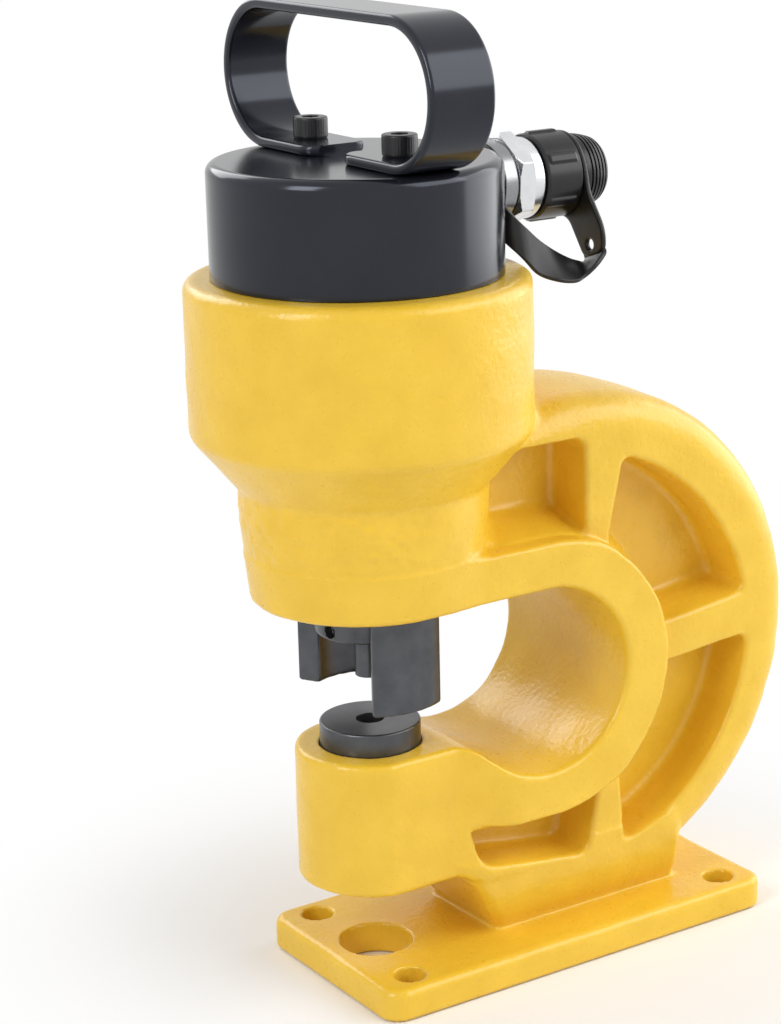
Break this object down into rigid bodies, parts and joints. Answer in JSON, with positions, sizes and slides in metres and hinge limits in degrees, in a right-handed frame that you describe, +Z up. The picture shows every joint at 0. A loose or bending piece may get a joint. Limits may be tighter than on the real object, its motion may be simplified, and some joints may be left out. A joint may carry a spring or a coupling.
{
  "type": "hydraulic hole punch",
  "caption": "C-frame hydraulic hole punch: cast body on a drilled base, cylinder with carrying handle and capped oil coupler, ram with punch, stripper and die.",
  "frame": {"origin": "centre of the four base holes, on the underside of the base plate", "axes": "+Z up along the punch, +X from the punch to the closed back of the C, +Y across to the side with the die's set screw"},
  "size_m": [0.2478, 0.1436, 0.3833],
  "materials": {
    "yellow_paint": "glossy enamel over a rough casting",
    "black_steel": "semi-gloss black",
    "tool_steel": "dark ground tool steel",
    "fastener_steel": "black oxide",
    "plated_steel": "bright zinc plate",
    "machined_steel": "turned",
    "chromed_rod": "hard chrome, polished",
    "spring_steel": "oiled",
    "bronze": "turned bronze",
    "seal_rubber": "moulded",
    "white_plastic": "machined",
    "black_plastic": "moulded"
  },
  "bodies": {
    "frame": {"base_plate": "yellow_paint", "c_frame": "yellow_paint", "frame_head": "yellow_paint", "cylinder_barrel": "black_steel", "guide_bush": "bronze", "rod_wiper": "seal_rubber", "return_spring": "spring_steel", "stripper": "tool_steel", "stripper_bolts": "fastener_steel", "die": "tool_steel", "die_set_screw": "fastener_steel", "handle_strap": "black_steel", "handle_bolts": "black_steel", "port_nipple": "plated_steel", "port_seal": "seal_rubber", "coupler_body": "plated_steel", "coupler_valve_guide": "machined_steel", "coupler_spring": "spring_steel", "coupler_oring": "seal_rubber", "dust_cap_strap": "black_plastic"},
    "ram": {"ram": "chromed_rod", "piston": "machined_steel", "piston_bolt": "fastener_steel", "piston_seal": "seal_rubber", "piston_backup_ring": "white_plastic", "piston_wear_ring": "white_plastic", "punch_nut": "tool_steel", "punch": "tool_steel"},
    "valve": {"coupler_poppet": "machined_steel"},
    "cap": {"dust_cap": "black_plastic"}
  },
  "joints": [
    {"name": "ram_slide", "type": "slide", "parent": "frame", "child": "ram", "axis": [0, 0, -1], "range_m": [0, 0.025], "stiffness_N_per_m": 5300, "springref_m": -0.025, "deforming": ["return_spring"]},
    {"name": "valve_slide", "type": "slide", "parent": "frame", "child": "valve", "axis": [-1, 0, 0], "range_m": [0, 0.003], "stiffness_N_per_m": 5800, "springref_m": -0.004, "deforming": ["coupler_spring"]},
    {"name": "cap_turn", "type": "hinge", "parent": "frame", "child": "cap", "pos_m": [0.0044, 0, 0.3129], "axis": [1, 0, 0], "continuous": true}
  ]
}
